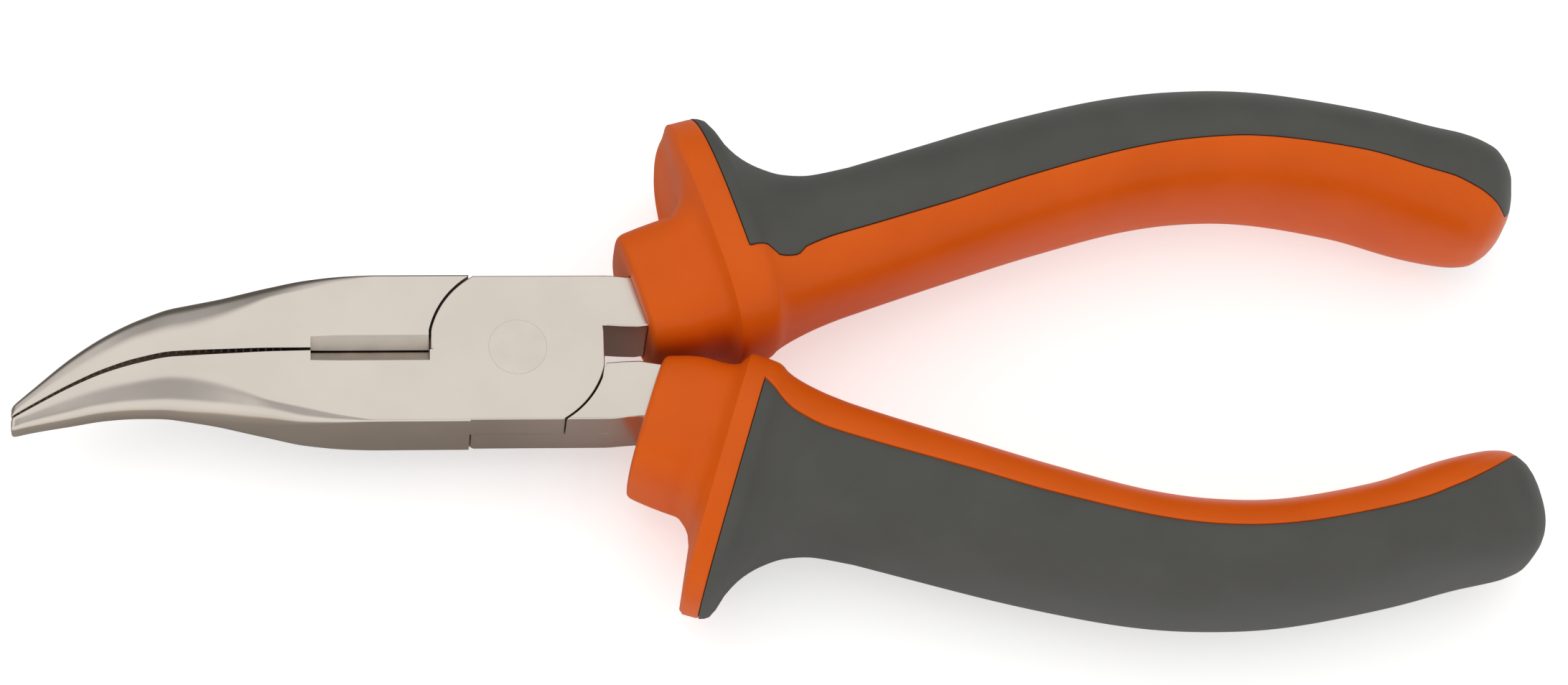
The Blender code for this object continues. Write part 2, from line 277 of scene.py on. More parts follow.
def make_tone():
    """Slow variation between two colours and two roughness values, with grain mixed in."""
    colour, number = "NodeSocketColor", "NodeSocketFloat"
    tree, given, made = shader_group(
        "tone", [("Position", "NodeSocketVector", (0, 0, 0)), ("Patch", number, 0.01), ("Grain", number, 0.5),
                 ("Colour 1", colour, (0, 0, 0, 1)), ("Colour 2", colour, (1, 1, 1, 1)),
                 ("Roughness 1", number, 0.3), ("Roughness 2", number, 0.5)],
        [("Colour", colour), ("Roughness", number)])
    divide, noise = tree.nodes.new("ShaderNodeVectorMath"), tree.nodes.new("ShaderNodeTexNoise")
    divide.operation = "DIVIDE"
    set_inputs(noise, {"Scale": 1.0, "Detail": TONE_DETAIL})
    spread, add = tree.nodes.new("ShaderNodeMapRange"), tree.nodes.new("ShaderNodeMath")
    set_inputs(spread, {"From Min": TONE_SPREAD[0], "From Max": TONE_SPREAD[1]})
    share = tree.nodes.new("ShaderNodeMath")
    add.operation, share.operation = "MULTIPLY_ADD", "MULTIPLY"
    add.inputs[1].default_value, share.inputs[1].default_value = PATCH_SHARE, GRAIN_SHARE
    paint, rough = tree.nodes.new("ShaderNodeMix"), tree.nodes.new("ShaderNodeMix")
    paint.data_type = "RGBA"
    for k in (0, 1):
        link_nodes(tree, [(given.outputs[f"Colour {k + 1}"], paint.inputs[MIX_COLOURS[k]]),
                          (given.outputs[f"Roughness {k + 1}"], rough.inputs[MIX_NUMBERS[k]])])
    link_nodes(tree, [(given.outputs["Position"], divide.inputs[0]),
                      (given.outputs["Patch"], divide.inputs[1]),
                      (divide.outputs[0], noise.inputs["Vector"]),
                      (noise.outputs["Fac"], spread.inputs["Value"]),
                      (given.outputs["Grain"], share.inputs[0]),
                      (spread.outputs["Result"], add.inputs[0]), (share.outputs[0], add.inputs[2]),
                      (add.outputs[0], paint.inputs["Factor"]), (add.outputs[0], rough.inputs["Factor"]),
                      (paint.outputs[MIXED_COLOUR], made.inputs["Colour"]),
                      (rough.outputs[MIXED_NUMBER], made.inputs["Roughness"])])
    return tree


GRAIN, TONE = make_grain(), make_tone()


def finish(name, metallic, colours, roughness, patch, grain, stretch, bump, specular=0.5):
    """A material whose colour, roughness and height come from the two shared groups.

    patch, grain and bump are millimetres. Colours and roughness are pairs that the surface drifts between.
    """
    made = bpy.data.materials.new(name)
    made.use_nodes = True
    tree = made.node_tree
    shader = tree.nodes["Principled BSDF"]
    where = tree.nodes.new("ShaderNodeTexCoord").outputs["Object"]
    fine, slow = tree.nodes.new("ShaderNodeGroup"), tree.nodes.new("ShaderNodeGroup")
    fine.node_tree, slow.node_tree = GRAIN, TONE
    set_inputs(fine, {"Size": grain * MM, "Stretch": stretch})
    set_inputs(slow, {"Patch": patch * MM})
    for k in (0, 1):
        set_inputs(slow, {f"Colour {k + 1}": (*colours[k], 1), f"Roughness {k + 1}": roughness[k]})
    relief = tree.nodes.new("ShaderNodeBump")
    set_inputs(relief, {"Strength": 1.0, "Distance": bump * MM})
    set_inputs(shader, {"Metallic": metallic, "Specular IOR Level": specular})
    link_nodes(tree, [(where, fine.inputs["Position"]), (where, slow.inputs["Position"]),
                      (fine.outputs["Height"], slow.inputs["Grain"]),
                      (slow.outputs["Colour"], shader.inputs["Base Color"]),
                      (slow.outputs["Roughness"], shader.inputs["Roughness"]),
                      (fine.outputs["Height"], relief.inputs["Height"]),
                      (relief.outputs["Normal"], shader.inputs["Normal"])])
    return made


print("shared effects:", GRAIN.name, "and", TONE.name)

# %% [markdown]
# ## Helpers for skins
# Jaws, tangs and grips are all skins stretched over a row of outlines. A skin closes both ends with
# a cap. Its numbers come from short tables, and `follow` runs a smooth curve through a table's rows
# without overshooting them, so a few rows are enough for a shape with clean reflections.

# %% Helpers for skins
PATH_STEPS = 24                 # samples of a curve between two of its points
REACH = 0.6                     # a path's direction is taken over this far to each side
SHARP = math.radians(32)        # edges that turn more than this stay sharp


def follow(rows, at):
    """The columns of a table at the given places, as a smooth curve through its rows."""
    table, at = np.array(rows, float), np.asarray(at, float)
    x, y = table[:, 0], table[:, 1:]
    step = np.diff(x)[:, None]
    slope = np.diff(y, axis=0) / step
    lean = np.zeros_like(y)
    same = slope[:-1] * slope[1:] > 0
    total = np.where(same, slope[:-1] + slope[1:], 1.0)
    lean[1:-1] = np.where(same, 2 * slope[:-1] * slope[1:] / total, 0.0)
    lean[0], lean[-1] = slope[0], slope[-1]
    i = np.clip(np.searchsorted(x, at, side="right") - 1, 0, len(x) - 2)
    t = np.clip((at - x[i]) / (x[i + 1] - x[i]), 0, 1)[:, None]
    h = step[i]
    return ((2 * t ** 3 - 3 * t ** 2 + 1) * y[i] + (t ** 3 - 2 * t ** 2 + t) * h * lean[i]
            + (3 * t ** 2 - 2 * t ** 3) * y[i + 1] + (t ** 3 - t ** 2) * h * lean[i + 1])


def new_piece(name, verts, faces, material):
    mesh = bpy.data.meshes.new(name)
    mesh.from_pydata([tuple(v) for v in place(verts)], [], faces)
    mesh.materials.append(material)
    piece = bpy.data.objects.new(name, mesh)
    bpy.context.scene.collection.objects.link(piece)
    face_outwards(piece)
    return piece


def face_outwards(piece):
    work = bmesh.new()
    work.from_mesh(piece.data)
    bmesh.ops.recalc_face_normals(work, faces=work.faces)
    work.to_mesh(piece.data)
    work.free()


def skin(name, rings, material):
    """A closed skin over rings of corners, an array of ring, corner and x, y, z."""
    rings = np.asarray(rings, float)
    count, corners = rings.shape[:2]
    faces = [(r * corners + k, r * corners + (k + 1) % corners, (r + 1) * corners + (k + 1) % corners,
              (r + 1) * corners + k) for r in range(count - 1) for k in range(corners)]
    faces += [tuple(reversed(range(corners))), tuple(range((count - 1) * corners, count * corners))]
    return new_piece(name, rings.reshape(-1, 3), faces, material)


def smooth_path(points, count=400):
    """Even samples of a curve through the points, with the distance run at each."""
    p = np.array(points, float)
    p = np.vstack([2 * p[0] - p[1], p, 2 * p[-1] - p[-2]])
    fine = []
    for i in range(1, len(p) - 2):
        a, b, c, d = p[i - 1:i + 3]
        t = np.linspace(0, 1, PATH_STEPS, endpoint=(i == len(p) - 3))[:, None]
        fine.append(0.5 * (2 * b + (c - a) * t + (2 * a - 5 * b + 4 * c - d) * t ** 2
                           + (3 * b - a - 3 * c + d) * t ** 3))
    fine = np.vstack(fine)
    run = np.r_[0, np.cumsum(np.linalg.norm(np.diff(fine, axis=0), axis=1))]
    even = np.linspace(0, run[-1], count)
    return even, np.column_stack([np.interp(even, run, fine[:, k]) for k in (0, 1)])


def walk(path, s):
    """Points on a path and the directions it runs in, at distances s."""
    run, pts = path
    point = np.column_stack([np.interp(s, run, pts[:, k]) for k in (0, 1)])
    ahead, behind = (np.column_stack([np.interp(s + d, run, pts[:, k]) for k in (0, 1)])
                     for d in (REACH, -REACH))
    way = ahead - behind
    return point, way / np.linalg.norm(way, axis=1)[:, None]


def lay_out(path, s, u, z, along=0.0):
    """Corners of sections square to a path: u is across it, z is up, along moves them on."""
    point, way = walk(path, s)
    x = point[:, :1] - way[:, 1:] * u + way[:, :1] * along
    y = point[:, 1:] + way[:, :1] * u + way[:, 1:] * along
    return np.stack([x, y, z], axis=-1)


def turn_over(pieces):
    """Half a turn about the tool's long axis through the rivet."""
    there = Matrix.Translation(PIVOT)
    half_turn = there @ Matrix.Rotation(math.pi, 4, "X") @ there.inverted()
    for piece in pieces:
        piece.data.transform(half_turn)


def settle(piece):
    """Makes the result of the modifiers the mesh itself, with smooth faces and sharp edges."""
    made = bpy.data.meshes.new_from_object(piece.evaluated_get(bpy.context.evaluated_depsgraph_get()))
    piece.modifiers.clear()
    piece.data = made
    made.polygons.foreach_set("use_smooth", [True] * len(made.polygons))
    made.set_sharp_from_angle(angle=SHARP)


print("helpers ready")

# %% [markdown]
# ## Steel finishes
# The levers are polished and then satin finished along their length, which leaves very fine lines
# in a warm silver. The cutting edges and the faces of the joint are only milled, so they are
# rougher. They lie in recesses, and their darker colour is partly painted shade. The rivet is
# ground flush with the joint.

# %% Steel finishes
satin_steel = finish("satin_steel", metallic=1.0, colours=((0.67, 0.615, 0.555), (0.74, 0.68, 0.62)),
                     roughness=(0.18, 0.27), patch=8.0, grain=0.10, stretch=(30.0, 1.0, 1.0), bump=0.0007)
# milled finish: rougher steel, and its darker colour is partly painted shade for the recesses and creases it
# lies in
milled_steel_painted_shade = finish("milled_steel_painted_shade", metallic=1.0, colours=((0.53, 0.48, 0.42), (0.62, 0.56, 0.50)),
                      roughness=(0.38, 0.50), patch=2.0, grain=0.10, stretch=(12.0, 1.0, 1.0), bump=0.003)
rivet_steel = finish("rivet_steel", metallic=1.0, colours=((0.66, 0.605, 0.545), (0.73, 0.67, 0.61)),
                     roughness=(0.20, 0.29), patch=3.0, grain=0.10, stretch=(1.0, 24.0, 1.0), bump=0.0007)
print("steel finishes: satin, milled, ground")

# %% [markdown]
# ## Jaw
# A jaw starts as a square bar at the joint and ends as a slim rounded tip that bends down. Its
# section is a flat side along the parting line, flat faces front and back, and an outer side that
# is square near the joint. Towards the tip a sloping facet grows out of each face and runs into a
# round nose, as a grinder leaves it. One table gives the parting line, the height and the
# thickness, and another says where flat, facet and round end.

# %% Jaw
# x, parting line y, height, half thickness, half of the gap between the jaws
JAW = [(-52.1, -6.35, 1.35, 1.50, 0.10), (-50.0, -5.15, 2.05, 1.70, 0.13), (-46.0, -3.05, 3.40, 2.15, 0.17),
       (-42.5, -1.55, 4.25, 2.50, 0.22), (-39.0, -0.55, 5.00, 2.85, 0.27), (-35.5, 0.00, 5.70, 3.20, 0.27),
       (-31.0, 0.05, 6.40, 3.65, 0.24), (-26.5, 0.05, 7.20, 4.10, 0.19), (-22.0, 0.00, 7.80, 4.40, 0.14),
       (-17.5, 0.00, 8.00, 4.50, 0.12), (-5.0, 0.00, 8.00, 4.50, 0.12)]
# x, end of the flat face, end of the sloping facet, how deep the facet drops, where the round ends
FACE = [(-52.1, 0.25, 0.80, 0.14, 1.25), (-50.0, 0.60, 1.25, 0.17, 1.50), (-46.0, 1.10, 2.25, 0.28, 2.00),
        (-42.5, 1.60, 3.00, 0.42, 2.35), (-40.0, 2.05, 3.55, 0.58, 2.65), (-37.5, 2.25, 3.95, 0.70, 2.90),
        (-34.5, 2.50, 4.30, 0.72, 3.20), (-31.5, 3.20, 4.85, 0.66, 3.25), (-28.5, 4.30, 5.45, 0.48, 2.95),
        (-25.6, 5.50, 6.10, 0.26, 2.45), (-22.0, 6.35, 6.80, 0.14, 1.35), (-18.0, 7.30, 7.45, 0.04, 0.60),
        (-14.6, 7.80, 7.84, 0.02, 0.20), (-5.0, 7.80, 7.84, 0.02, 0.20)]
# distance from the tip, share of the size, and the share of the height that it shrinks towards
TIP_ROUND, TIP_CENTRE = [(0.00, 0.72), (0.10, 0.88), (0.28, 0.97), (0.55, 1.0)], 0.45
JAW_STEP = 0.55         # distance between two rings
PARTING_EDGE = 0.10     # how far the edge at the parting line is broken
PARTING_SHARE = 0.1     # at most this share of the height
FOLD_SHARE, FOLD_MOST = 0.45, 2.0       # softness of the fold between flat face and facet
FLAT_POINTS, FOLD_POINTS, NOSE_POINTS, SIDE_POINTS, PARTING_POINTS = 5, 7, 15, 5, 6


def soft_corner(start, corner, end, count):
    """Points of a smooth turn from start to end that aims at the corner."""
    t = np.linspace(0, 1, count)[:, None]
    return (1 - t) ** 2 * np.array(start) + 2 * t * (1 - t) * np.array(corner) + t ** 2 * np.array(end)


def jaw_section(height, thick, flat, facet, drop, deep):
    """Corners of one section, u from the parting side outwards and z up."""
    ease = min(PARTING_EDGE, PARTING_SHARE * height)
    slope = drop / (facet - flat)
    soft = FOLD_SHARE * min(facet - flat, flat, FOLD_MOST)
    fold = soft_corner((flat - soft, thick), (flat, thick), (flat + soft, thick - slope * soft), FOLD_POINTS)
    nose = soft_corner((facet, thick - drop), (height, thick - drop - slope * (height - facet)),
                       (height, thick - deep), NOSE_POINTS)
    face = [(u, thick) for u in np.linspace(ease, flat - soft, FLAT_POINTS)[:-1]]
    front = np.vstack([[(0.0, thick - ease)], face, fold, nose])
    side = [(height, z) for z in np.linspace(thick - deep, deep - thick, SIDE_POINTS)[1:-1]]
    parting = [(0.0, z) for z in np.linspace(ease - thick, thick - ease, PARTING_POINTS)[1:-1]]
    return np.vstack([front, side, front[::-1] * (1, -1), parting])


def jaw_rings(bend):
    """The lower jaw's rings. bend is 1, or -1 for the jaw that is turned over afterwards."""
    tip, root = JAW[0][0], JAW[-1][0]
    rounded = [tip + d for d, _ in TIP_ROUND]
    x = np.r_[rounded, np.arange(tip + 2 * JAW_STEP, root - JAW_STEP / 2, JAW_STEP), root]
    share = np.r_[[size for _, size in TIP_ROUND], np.ones(len(x) - len(TIP_ROUND))]
    rings = []
    for at, size, (middle, height, thick, gap), face in zip(x, share, follow(JAW, x), follow(FACE, x)):
        section = jaw_section(height, thick, *face)
        centre = np.array([height * TIP_CENTRE, 0.0])
        u, z = (centre + (section - centre) * size).T
        rings.append(np.column_stack([np.full(len(u), at), bend * middle - gap - u, z]))
    return np.array(rings)


print("jaw rings:", jaw_rings(1.0).shape)

# %% [markdown]
# ## Tang and joint layer
# Beside the rivet each lever is only half as thick: a round layer, which lies on the other lever's
# layer. From there the full-thickness tang runs into the grip. The layer is a flat outline with a
# broken front edge, made from rings that shrink at the top. The tang is a bar with rounded corners
# that follows the middle of the grip.

# %% Tang and joint layer
HALF_WIDTH, HALF_THICK, DISC = 8.0, 4.5, 9.2
DISC_FLAT = 9.0        # the disc is cut straight this far to each side of the rivet
SHOULDER = 0.2         # gap between a disc and the lever that it turns in
LAYER_GAP = 0.015      # from the middle of the tool to each layer
LAYER_START, LAYER_END = -8.85, 9.4     # x where the layer runs into the jaw and into the tang
JAW_GAP, DISC_START = 0.12, 179.4       # height and angle at which the disc leaves the parting line
EDGE, EDGE_TURNS = 0.20, (0, 30, 60, 90)        # how far the layer's edge is broken, and its steps
RIVET, RIVET_GAP = 3.0, 0.012
DISC_POINTS, HOLE_POINTS, ARC_POINTS, CORNER_POINTS = 120, 96, (24, 40), 5
ROOT_ROWS = 3          # the first rows of the table below are the tang's straight root
ROOT_RINGS, TANG_RINGS = 8, 60          # rings along the root and along the rest
# x, y, half width, half thickness, corner radius
TANG = [(3.5, 5.1, 2.9, 4.5, 0.2), (9.0, 5.1, 2.9, 4.5, 0.2), (14.0, 5.2, 2.9, 4.5, 0.3),
        (19.0, 7.8, 3.1, 4.3, 0.8), (24.0, 10.1, 3.1, 4.2, 1.0), (34.0, 13.5, 3.2, 4.0, 1.0),
        (54.0, 19.6, 3.1, 3.6, 1.0), (64.0, 22.1, 3.0, 3.4, 1.0), (72.0, 23.1, 2.9, 3.2, 1.0),
        (80.0, 22.9, 2.8, 3.0, 1.0), (90.0, 21.1, 2.4, 2.6, 1.0)]


def arc(radius, start, end, count):
    a = np.radians(np.linspace(start, end, count))
    return np.column_stack([radius * np.cos(a), radius * np.sin(a)])


def inset(outline, depth):
    """The outline moved inwards, each corner along the middle of its two edges."""
    o = np.asarray(outline, float)
    turn = np.sign(np.sum(o[:, 0] * np.roll(o[:, 1], -1) - np.roll(o[:, 0], -1) * o[:, 1]))
    ahead = np.roll(o, -1, axis=0) - o
    ahead /= np.linalg.norm(ahead, axis=1)[:, None]
    normal = np.column_stack([-ahead[:, 1], ahead[:, 0]]) * turn
    before = np.roll(normal, 1, axis=0)
    return o + depth * (normal + before) / (1 + np.sum(normal * before, axis=1))[:, None]


def slab(name, outline, bottom, top, edge, material):
    """A flat outline given thickness, with its upper edge broken."""
    turns = np.radians(EDGE_TURNS if edge else [90])
    layers = [(0.0, bottom)] + [(edge * (1 - math.cos(a)), top - edge + edge * math.sin(a)) for a in turns]
    rings = [np.column_stack([inset(outline, d), np.full(len(outline), z)]) for d, z in layers]
    return skin(name, rings, material)


def circle(radius, count=HOLE_POINTS):
    return arc(radius, 0, 360 - 360 / count, count)


def disc_outline(radius, flat):
    """A round plate cut straight on the left and the right."""
    ring = circle(radius, DISC_POINTS)
    ring[:, 0] = np.clip(ring[:, 0], -flat, flat)
    return ring


def layer_outline(inner):
    """Disc, root of the tang and the part that joins the jaw."""
    corner, start = (math.degrees(math.asin(y / DISC)) for y in (HALF_WIDTH, inner))
    left = arc(DISC, DISC_START, 180 - corner, ARC_POINTS[0])
    right = arc(DISC, start, -corner, ARC_POINTS[1])
    for side in (left, right):
        side[:, 0] = np.clip(side[:, 0], -DISC_FLAT, DISC_FLAT)
    at_jaw = [(LAYER_START, -HALF_WIDTH), (LAYER_START, -JAW_GAP), (-DISC_FLAT, -JAW_GAP)]
    return np.vstack([at_jaw, left, [(LAYER_END, HALF_WIDTH), (LAYER_END, inner)], right])


def bar_section(half_w, half_t, radius):
    """A rectangle with rounded corners, u across and z up."""
    corner = np.radians(np.linspace(0, 90, CORNER_POINTS))
    quarter = np.column_stack([half_w - radius + radius * np.cos(corner),
                               half_t - radius + radius * np.sin(corner)])
    left = quarter[::-1] * (-1, 1)
    return np.vstack([quarter, left, -quarter, -left])


def tang_rings(grow=0.0, inner=None, longer=0.0):
    """Rings of the tang. grow and longer make the pocket that it sits in."""
    rows = np.array(TANG)
    if inner is not None:                       # the straight root has its own inner edge
        rows[:ROOT_ROWS, 1], rows[:ROOT_ROWS, 2] = (HALF_WIDTH + inner) / 2, (HALF_WIDTH - inner) / 2
    path = smooth_path(rows[:, :2])
    at = [path[0][np.argmin(np.linalg.norm(path[1] - p, axis=1))] for p in rows[:, :2]]
    root = at[ROOT_ROWS - 1]
    s = np.r_[np.linspace(0, root, ROOT_RINGS), np.linspace(root, path[0][-1], TANG_RINGS)[1:]]
    size = follow(np.column_stack([at, rows[:, 2:]]), s)
    sections = np.array([bar_section(w + grow, t + grow, r + grow) for w, t, r in size])
    rings = lay_out(path, s, sections[:, :, 0], sections[:, :, 1])
    ahead = (rings[-1] - rings[-2]).mean(axis=0)
    rings[-1] += longer * ahead / np.linalg.norm(ahead)
    return rings


print("disc outline:", len(disc_outline(DISC, DISC_FLAT)), "corners")

# %% [markdown]
# ## Levers
# The forging is put together the way a fitter would describe it: jaw and tang are joined, the
# room for the other lever's disc is milled away, the own disc is added, and then the rivet hole
# and the two sloping faces of the wire cutter are cut on both sides. Exact booleans do this, and
# the milled faces take the milled finish, with its painted shade, from the cutting shape.

# %% Levers
CUTTER = (-21.4, -9.1)          # the wire cutter runs from x to x
CUTTER_TOP, CUTTER_LOW = 1.40, 1.25     # half width and depth of its groove
PAST_PARTING, ABOVE_FACE = 0.3, 1.0     # how far the cutting shape sticks out of the steel
THROUGH = 6.0                   # cuts through the joint start and end this far from the middle
# bend of the jaw and height of the tang's inner edge
FRONT_LEVER, BACK_LEVER = (1.0, 2.35), (-1.0, 1.75)


def combine(piece, other, operation):
    step = piece.modifiers.new(operation.lower(), "BOOLEAN")
    step.operation, step.solver, step.object = operation, "EXACT", other
    step.material_mode = "TRANSFER"
    other.hide_render = True


def groove(name, face):
    """One jaw's half of the cutter groove, on the front (1) or the back (-1)."""
    high = HALF_THICK + ABOVE_FACE
    side = [(-CUTTER_TOP, HALF_THICK), (-CUTTER_TOP, high), (PAST_PARTING, high),
            (PAST_PARTING, HALF_THICK - CUTTER_LOW * (1 + PAST_PARTING / CUTTER_TOP))]
    return skin(name, [[(x, y, face * z) for y, z in side] for x in CUTTER], milled_steel_painted_shade)


def lever(name, bend, inner):
    """A lower jaw with its joint layer and its upper tang."""
    piece = skin(name, jaw_rings(bend), satin_steel)
    tang = skin(name + "_tang", tang_rings(inner=inner), satin_steel)
    room = slab(name + "_room", disc_outline(DISC + SHOULDER, DISC_FLAT + SHOULDER), -THROUGH, LAYER_GAP, 0,
                milled_steel_painted_shade)
    layer = slab(name + "_layer", layer_outline(inner), LAYER_GAP, HALF_THICK, EDGE, satin_steel)
    hole = slab(name + "_hole", circle(RIVET + RIVET_GAP), -THROUGH, THROUGH, 0, milled_steel_painted_shade)
    steps = [(tang, "UNION"), (room, "DIFFERENCE"), (layer, "UNION"), (hole, "DIFFERENCE"),
             (groove(name + "_front", 1), "DIFFERENCE"), (groove(name + "_back", -1), "DIFFERENCE")]
    for other, operation in steps:
        combine(piece, other, operation)
    settle(piece)
    for other, _ in steps:
        bpy.data.objects.remove(other)
    weigh = piece.modifiers.new("flat_faces_stay_flat", "WEIGHTED_NORMAL")
    weigh.keep_sharp = True
    return piece


front_steel = lever("front_lever_steel", *FRONT_LEVER)
back_steel = lever("back_lever_steel", *BACK_LEVER)
turn_over([back_steel])
rivet_pin = slab("rivet_pin", circle(RIVET), -HALF_THICK, HALF_THICK, 0, rivet_steel)
settle(rivet_pin)
for piece, body, node in ((front_steel, "front_lever", "front_half"), (back_steel, "back_lever", "back_half"),
                          (rivet_pin, "front_lever", "pivot_rivet")):
    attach(piece, body)
    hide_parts(node)
    print(piece.name, len(piece.data.polygons), "faces")

# %% [markdown]
# ## Teeth in the jaws
# Fine ridges across the gripping faces hold a wire. They repeat at an even distance along the bent
# parting line, so Geometry Nodes set them out: a line along the face is cut into equal steps, and a
# small bar standing on its edge is placed at each step, as long as the face is wide there.

# %% Teeth in the jaws
TOOTH_PITCH, TOOTH_SIZE = 0.75, 0.15
TEETH_SPAN = (-51.0, -24.5)             # x where the rows of teeth start and end
TOOTH_INSET, TOOTH_SHORTEST = 1.8, 1.2  # how far teeth end inside each face, and their least length
LINE_POINTS = 60


def teeth_tree():
    """Sets bars along a line at an even pitch, each as long as the line's width says."""
    tree = bpy.data.node_groups.new("teeth_along_a_line", "GeometryNodeTree")
    sockets = {}
    for label, kind in (("Line", "NodeSocketGeometry"), ("Pitch", "NodeSocketFloat"),
                        ("Tooth Size", "NodeSocketFloat"), ("Finish", "NodeSocketMaterial")):
        sockets[label] = tree.interface.new_socket(label, in_out="INPUT", socket_type=kind).identifier
    tree.interface.new_socket("Teeth", in_out="OUTPUT", socket_type="NodeSocketGeometry")
    make = tree.nodes.new
    given, made = make("NodeGroupInput"), make("NodeGroupOutput")
    curve, steps = make("GeometryNodeMeshToCurve"), make("GeometryNodeResampleCurve")
    steps.mode = "LENGTH"
    size, bar, stand = (make("ShaderNodeCombineXYZ"), make("GeometryNodeMeshCube"),
                        make("GeometryNodeTransform"))
    set_inputs(size, {"Z": 1.0})
    set_inputs(stand, {"Rotation": (0, 0, math.pi / 4)})
    width, scale = make("GeometryNodeInputNamedAttribute"), make("ShaderNodeCombineXYZ")
    width.data_type = "FLOAT"
    set_inputs(width, {"Name": "width"})
    set_inputs(scale, {"X": 1.0, "Y": 1.0})
    tangent, turn = make("GeometryNodeInputTangent"), make("FunctionNodeAlignRotationToVector")
    turn.axis = "X"
    put, real, paint = (make("GeometryNodeInstanceOnPoints"), make("GeometryNodeRealizeInstances"),
                        make("GeometryNodeSetMaterial"))
    link_nodes(tree, [(given.outputs["Line"], curve.inputs["Mesh"]),
                      (curve.outputs["Curve"], steps.inputs["Curve"]),
                      (given.outputs["Pitch"], steps.inputs["Length"]),
                      (steps.outputs["Curve"], put.inputs["Points"]),
                      (given.outputs["Tooth Size"], size.inputs["X"]),
                      (given.outputs["Tooth Size"], size.inputs["Y"]),
                      (size.outputs[0], bar.inputs["Size"]), (bar.outputs["Mesh"], stand.inputs["Geometry"]),
                      (stand.outputs[0], put.inputs["Instance"]),
                      (tangent.outputs[0], turn.inputs["Vector"]), (turn.outputs[0], put.inputs["Rotation"]),
                      (width.outputs["Attribute"], scale.inputs["Z"]),
                      (scale.outputs[0], put.inputs["Scale"]),
                      (put.outputs[0], real.inputs[0]), (real.outputs[0], paint.inputs["Geometry"]),
                      (given.outputs["Finish"], paint.inputs["Material"]),
                      (paint.outputs[0], made.inputs["Teeth"])])
    return tree, sockets


def add_teeth(name, bend, tree, sockets):
    x = np.linspace(*TEETH_SPAN, LINE_POINTS)
    middle, _, thick, gap = follow(JAW, x).T
    length = np.maximum(2 * thick - 2 * TOOTH_INSET, TOOTH_SHORTEST)
    line = np.column_stack([x, bend * middle - gap, np.zeros_like(x)])
    mesh = bpy.data.meshes.new(name)
    mesh.from_pydata([tuple(v) for v in place(line)], [(i, i + 1) for i in range(len(x) - 1)], [])
    mesh.attributes.new("width", "FLOAT", "POINT").data.foreach_set("value", length * MM)
    piece = bpy.data.objects.new(name, mesh)
    bpy.context.scene.collection.objects.link(piece)
    step = piece.modifiers.new("teeth", "NODES")
    step.node_group = tree
    step[sockets["Pitch"]], step[sockets["Tooth Size"]] = TOOTH_PITCH * MM, TOOTH_SIZE * MM
    # the teeth take the milled finish, whose darker colour is partly painted shade in the crease between the
    # jaws
    step[sockets["Finish"]] = milled_steel_painted_shade
    made = bpy.data.meshes.new_from_object(piece.evaluated_get(bpy.context.evaluated_depsgraph_get()))
    piece.modifiers.clear()
    piece.data = made
    return piece


teeth, teeth_sockets = teeth_tree()
lower_teeth = add_teeth("lower_jaw_teeth", FRONT_LEVER[0], teeth, teeth_sockets)
upper_teeth = add_teeth("upper_jaw_teeth", BACK_LEVER[0], teeth, teeth_sockets)
turn_over([upper_teeth])
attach(lower_teeth, "front_lever")
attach(upper_teeth, "back_lever")
print("teeth:", len(lower_teeth.data.polygons) // 6, "in each jaw")

# %% [markdown]
# ## Grip finishes
# The sleeve is hard, smooth orange plastic with a faint moulded skin. The cover is soft grey
# rubber-like plastic with a fine matt texture.

# %% Grip finishes
EVEN = (1.0, 1.0, 1.0)
orange_plastic = finish("orange_plastic", metallic=0.0, specular=0.14, roughness=(0.27, 0.37), patch=9.0,
                        colours=((0.58, 0.086, 0.003), (0.66, 0.103, 0.005)),
                        grain=0.35, stretch=EVEN, bump=0.006)
grey_rubber = finish("grey_rubber", metallic=0.0, specular=0.32, roughness=(0.54, 0.68), patch=6.0,
                     colours=((0.056, 0.056, 0.051), (0.072, 0.072, 0.067)),
                     grain=0.16, stretch=EVEN, bump=0.018)
print("grip finishes: orange and grey")

# %% [markdown]
# ## Grip
# A grip is one long body along a curved middle line. Its section is a soft rectangle that gets
# wider and flatter towards the rear. A finger guard stands up near its mouth: a share of extra size
# that rises steeply at the front and falls off in a hollow curve behind. The seam between sleeve
# and cover is a line along each side. Sleeve and cover are two skins that share all of this: in each
# section the cover takes the corners between the seams, and the sleeve steps down underneath it.

# %% Grip
MIDDLE = [(12.2, 6.7), (22.0, 9.8), (34.0, 13.5), (44.0, 16.6), (54.0, 19.6), (64.0, 22.1), (72.0, 23.1),
          (80.0, 22.9), (90.0, 21.1), (98.0, 18.8), (107.4, 16.9)]
# distance from the mouth, outer size, inner size, half thickness, squareness
GRIP = [(0.0, 6.1, 5.9, 6.3, 3.2), (0.12, 6.5, 6.35, 6.75, 3.3), (0.4, 6.75, 6.7, 7.0, 3.4),
        (0.9, 6.9, 6.9, 7.15, 3.4), (5.5, 7.2, 7.7, 7.5, 3.4), (10.2, 7.3, 7.4, 8.0, 3.0),
        (16.5, 7.3, 7.2, 8.1, 2.8), (22.8, 7.2, 7.1, 8.1, 2.6), (33.2, 6.95, 6.95, 8.4, 2.5),
        (43.7, 6.8, 6.8, 8.8, 2.4), (54.0, 6.55, 6.55, 9.0, 2.35), (62.0, 6.35, 6.35, 9.3, 2.3),
        (70.0, 6.1, 6.1, 9.75, 2.3), (80.0, 5.95, 5.95, 9.9, 2.4), (88.0, 6.2, 6.2, 9.5, 2.5),
        (92.5, 6.3, 6.3, 8.7, 2.6), (94.8, 6.0, 6.0, 7.9, 2.6), (96.4, 4.9, 4.9, 6.4, 2.6),
        (97.3, 3.6, 3.6, 4.6, 2.5), (97.85, 1.9, 1.9, 2.4, 2.4), (98.0, 0.5, 0.5, 0.6, 2.4)]
